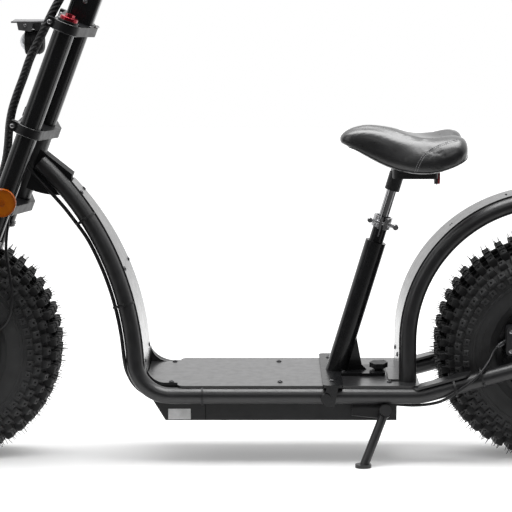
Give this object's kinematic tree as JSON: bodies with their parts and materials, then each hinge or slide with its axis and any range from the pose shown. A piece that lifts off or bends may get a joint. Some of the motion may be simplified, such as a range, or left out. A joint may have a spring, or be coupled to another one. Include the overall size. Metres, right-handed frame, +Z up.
{
  "type": "electric scooter",
  "caption": "Electric scooter with a seat: fat knobby tyres, tube frame with a flat deck, clamped fork, saddle on a telescopic mast, hooped mudguard and side stand.",
  "frame": {"origin": "on the floor, below the middle of the object's length and width", "axes": "+X to the rear along the scooter, +Y to the rider's right, +Z up; the scooter leans 6 degrees to -Y on its side stand"},
  "size_m": [1.7758, 0.7305, 1.1504],
  "materials": {
    "frame_paint": "satin",
    "plate_paint": "satin",
    "box_paint": "satin",
    "battery": "plain block",
    "fork_paint": "satin",
    "wheel_paint": "satin",
    "bare_steel": "brushed",
    "collar_metal": "satin",
    "caliper_metal": "satin",
    "red_metal": "gloss",
    "tyre_rubber": "matt",
    "grip_rubber": "matt",
    "cable_black": "matt",
    "black_plastic": "matt",
    "saddle_cover": "smooth",
    "amber": "gloss",
    "red_lens": "gloss"
  },
  "bodies": {
    "frame": {"rail_left": "frame_paint", "rail_right": "frame_paint", "head_tube": "frame_paint", "head_gusset": "frame_paint", "cover_plate": "plate_paint", "deck_plate": "plate_paint", "battery_box": "box_paint", "battery_pack": "battery", "dropouts": "frame_paint", "hoop_left": "frame_paint", "hoop_right": "frame_paint", "mudguard": "plate_paint", "hoop_bridge": "frame_paint", "stays": "frame_paint", "seat_base": "frame_paint", "mast": "frame_paint", "inner_tube": "frame_paint", "seat_collar": "collar_metal", "star_knob": "black_plastic", "stand_bracket": "frame_paint", "rear_axle": "bare_steel", "rear_caliper": "caliper_metal", "rear_hose": "cable_black", "neck_loom": "cable_black"},
    "steering": {"steerer": "fork_paint", "clamp_lower": "fork_paint", "clamp_middle": "fork_paint", "clamp_upper": "fork_paint", "fork_legs": "fork_paint", "sliders": "fork_paint", "leg_caps": "red_metal", "stem": "fork_paint", "handlebar": "fork_paint", "grips": "grip_rubber", "brake_levers": "caliper_metal", "display": "black_plastic", "headlamp": "black_plastic", "lamp_bracket": "fork_paint", "side_reflectors": "amber", "front_axle": "bare_steel", "front_caliper": "caliper_metal", "cable_bundle": "cable_black", "front_hose": "cable_black"},
    "front_wheel": {"front_tyre": "tyre_rubber", "front_rim": "wheel_paint", "front_disc": "bare_steel"},
    "rear_wheel": {"rear_tyre": "tyre_rubber", "rear_rim": "wheel_paint", "rear_disc": "bare_steel"},
    "side_stand": {"stand_leg": "frame_paint"},
    "saddle": {"saddle_post": "bare_steel", "saddle": "saddle_cover", "saddle_pan": "black_plastic", "tail_reflector": "red_lens"}
  },
  "joints": [
    {"name": "steering_turn", "type": "hinge", "parent": "frame", "child": "steering", "pos_m": [-0.61723, 0.09042, 0.23145], "axis": [0.3567, -0.0977, 0.9291], "range_deg": [-38, 38]},
    {"name": "front_wheel_spin", "type": "hinge", "parent": "steering", "child": "front_wheel", "pos_m": [-0.646, 0.08927, 0.24238], "axis": [0, 0.9945, 0.1045], "continuous": true},
    {"name": "rear_wheel_spin", "type": "hinge", "parent": "frame", "child": "rear_wheel", "pos_m": [0.646, 0.08927, 0.24238], "axis": [0, 0.9945, 0.1045], "continuous": true},
    {"name": "stand_fold", "type": "hinge", "parent": "frame", "child": "side_stand", "pos_m": [0.29, -0.02072, 0.11217], "axis": [0.0277, -0.9541, 0.2982], "range_deg": [0, 108]},
    {"name": "saddle_height", "type": "slide", "parent": "frame", "child": "saddle", "axis": [0.2807, -0.1003, 0.9545], "range_m": [-0.05, 0.06]}
  ]
}
